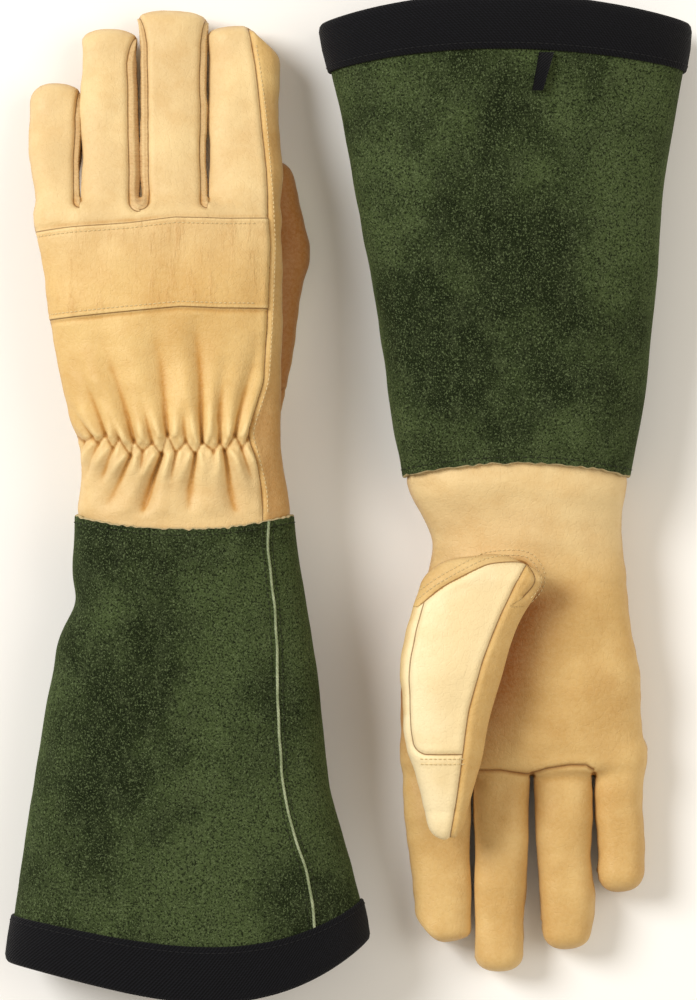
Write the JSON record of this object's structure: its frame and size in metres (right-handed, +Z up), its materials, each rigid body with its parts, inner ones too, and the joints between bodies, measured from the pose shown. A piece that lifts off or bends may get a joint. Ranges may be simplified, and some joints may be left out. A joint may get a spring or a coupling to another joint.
{
  "type": "gardening gloves",
  "caption": "Pair of long gauntlet gardening gloves: tan leather hands with bending fingers and thumb, flared green suede cuffs with black hem binding and hanging loops.",
  "frame": {"origin": "on the ground under the middle of the pair's bounding box", "axes": "+X to the right glove, +Y the way the left glove's fingers point, +Z up"},
  "size_m": [0.296, 0.4282, 0.0593],
  "materials": {
    "leather": "smooth grain leather",
    "thumb_leather": "smooth grain leather, paler",
    "suede": "split suede",
    "welt": "folded tape",
    "webbing": "twill tape",
    "elastic": "woven elastic"
  },
  "bodies": {
    "left_cuff": {"left_cuff_sleeve": "suede", "left_cuff_seam_welt": "welt", "left_hem_binding": "webbing"},
    "left_hand": {"left_back_panel": "leather", "left_palm_panel": "leather", "left_middle_ring_front": "leather", "left_index_middle_fork": "leather", "left_middle_ring_fork": "leather", "left_ring_little_fork": "leather", "left_knuckle_band": "leather", "left_wrist_elastic": "elastic"},
    "left_index": {"left_index_back": "leather", "left_index_front": "leather", "left_index_outer_side": "leather"},
    "left_middle": {"left_middle_back": "leather", "left_middle_front": "leather", "left_middle_thumb_side": "leather", "left_middle_outer_side": "leather"},
    "left_ring": {"left_ring_back": "leather", "left_ring_front": "leather", "left_ring_thumb_side": "leather", "left_ring_outer_side": "leather"},
    "left_little": {"left_little_back": "leather", "left_little_front": "leather", "left_little_thumb_side": "leather"},
    "left_thumb": {"left_thumb_patch": "thumb_leather", "left_thumb_tip": "thumb_leather", "left_thumb_strip": "thumb_leather", "left_thumb_back": "thumb_leather"},
    "left_loop": {"left_hanging_loop": "webbing"},
    "right_cuff": {"right_cuff_sleeve": "suede", "right_cuff_seam_welt": "welt", "right_hem_binding": "webbing"},
    "right_hand": {"right_back_panel": "leather", "right_palm_panel": "leather", "right_middle_ring_front": "leather", "right_index_middle_fork": "leather", "right_middle_ring_fork": "leather", "right_ring_little_fork": "leather", "right_knuckle_band": "leather", "right_wrist_elastic": "elastic"},
    "right_index": {"right_index_back": "leather", "right_index_front": "leather", "right_index_outer_side": "leather"},
    "right_middle": {"right_middle_back": "leather", "right_middle_front": "leather", "right_middle_thumb_side": "leather", "right_middle_outer_side": "leather"},
    "right_ring": {"right_ring_back": "leather", "right_ring_front": "leather", "right_ring_thumb_side": "leather", "right_ring_outer_side": "leather"},
    "right_little": {"right_little_back": "leather", "right_little_front": "leather", "right_little_thumb_side": "leather"},
    "right_thumb": {"right_thumb_patch": "thumb_leather", "right_thumb_tip": "thumb_leather", "right_thumb_strip": "thumb_leather", "right_thumb_back": "thumb_leather"},
    "right_loop": {"right_hanging_loop": "webbing"}
  },
  "joints": [
    {"name": "left_wrist_bend", "type": "hinge", "parent": "left_cuff", "child": "left_hand", "pos_m": [-0.07024, -0.0112, 0.0355], "axis": [-1, 0, 0], "range_deg": [-15, 25]},
    {"name": "left_index_bend", "type": "hinge", "parent": "left_hand", "child": "left_index", "pos_m": [-0.04448, 0.1518, 0.02485], "axis": [-1, 0, 0], "range_deg": [0, 70]},
    {"name": "left_middle_bend", "type": "hinge", "parent": "left_hand", "child": "left_middle", "pos_m": [-0.0752, 0.1568, 0.02403], "axis": [-1, 0, 0], "range_deg": [0, 70]},
    {"name": "left_ring_bend", "type": "hinge", "parent": "left_hand", "child": "left_ring", "pos_m": [-0.10219, 0.1538, 0.02375], "axis": [-1, 0, 0], "range_deg": [0, 70]},
    {"name": "left_little_bend", "type": "hinge", "parent": "left_hand", "child": "left_little", "pos_m": [-0.12502, 0.1448, 0.02304], "axis": [-1, 0, 0], "range_deg": [0, 70]},
    {"name": "left_thumb_swing", "type": "hinge", "parent": "left_hand", "child": "left_thumb", "pos_m": [-0.05424, 0.0488, 0.011], "axis": [0, 0, -1], "range_deg": [0, 20]},
    {"name": "left_loop_swing", "type": "hinge", "parent": "left_cuff", "child": "left_loop", "pos_m": [-0.08224, -0.18917, 0.00087], "axis": [-1, 0, 0], "range_deg": [0, 90]},
    {"name": "right_wrist_bend", "type": "hinge", "parent": "right_cuff", "child": "right_hand", "pos_m": [0.07226, 0.0112, 0.0215], "axis": [-1, 0, 0], "range_deg": [-15, 25]},
    {"name": "right_index_bend", "type": "hinge", "parent": "right_hand", "child": "right_index", "pos_m": [0.03973, -0.1528, 0.01679], "axis": [-1, 0, 0], "range_deg": [0, 70]},
    {"name": "right_middle_bend", "type": "hinge", "parent": "right_hand", "child": "right_middle", "pos_m": [0.06569, -0.1538, 0.01705], "axis": [-1, 0, 0], "range_deg": [0, 70]},
    {"name": "right_ring_bend", "type": "hinge", "parent": "right_hand", "child": "right_ring", "pos_m": [0.09351, -0.1498, 0.01704], "axis": [-1, 0, 0], "range_deg": [0, 70]},
    {"name": "right_little_bend", "type": "hinge", "parent": "right_hand", "child": "right_little", "pos_m": [0.11746, -0.1408, 0.01686], "axis": [-1, 0, 0], "range_deg": [0, 70]},
    {"name": "right_thumb_swing", "type": "hinge", "parent": "right_hand", "child": "right_thumb", "pos_m": [0.05626, -0.0488, 0.048], "axis": [0, 0, -1], "range_deg": [0, 20]},
    {"name": "right_loop_swing", "type": "hinge", "parent": "right_cuff", "child": "right_loop", "pos_m": [0.08426, 0.18901, 0.05413], "axis": [-1, 0, 0], "range_deg": [0, 90]},
    {"name": "right_glove_lift", "type": "slide", "parent": "left_cuff", "child": "right_cuff", "axis": [0, 0, 1], "range_m": [0, 0.3]}
  ]
}
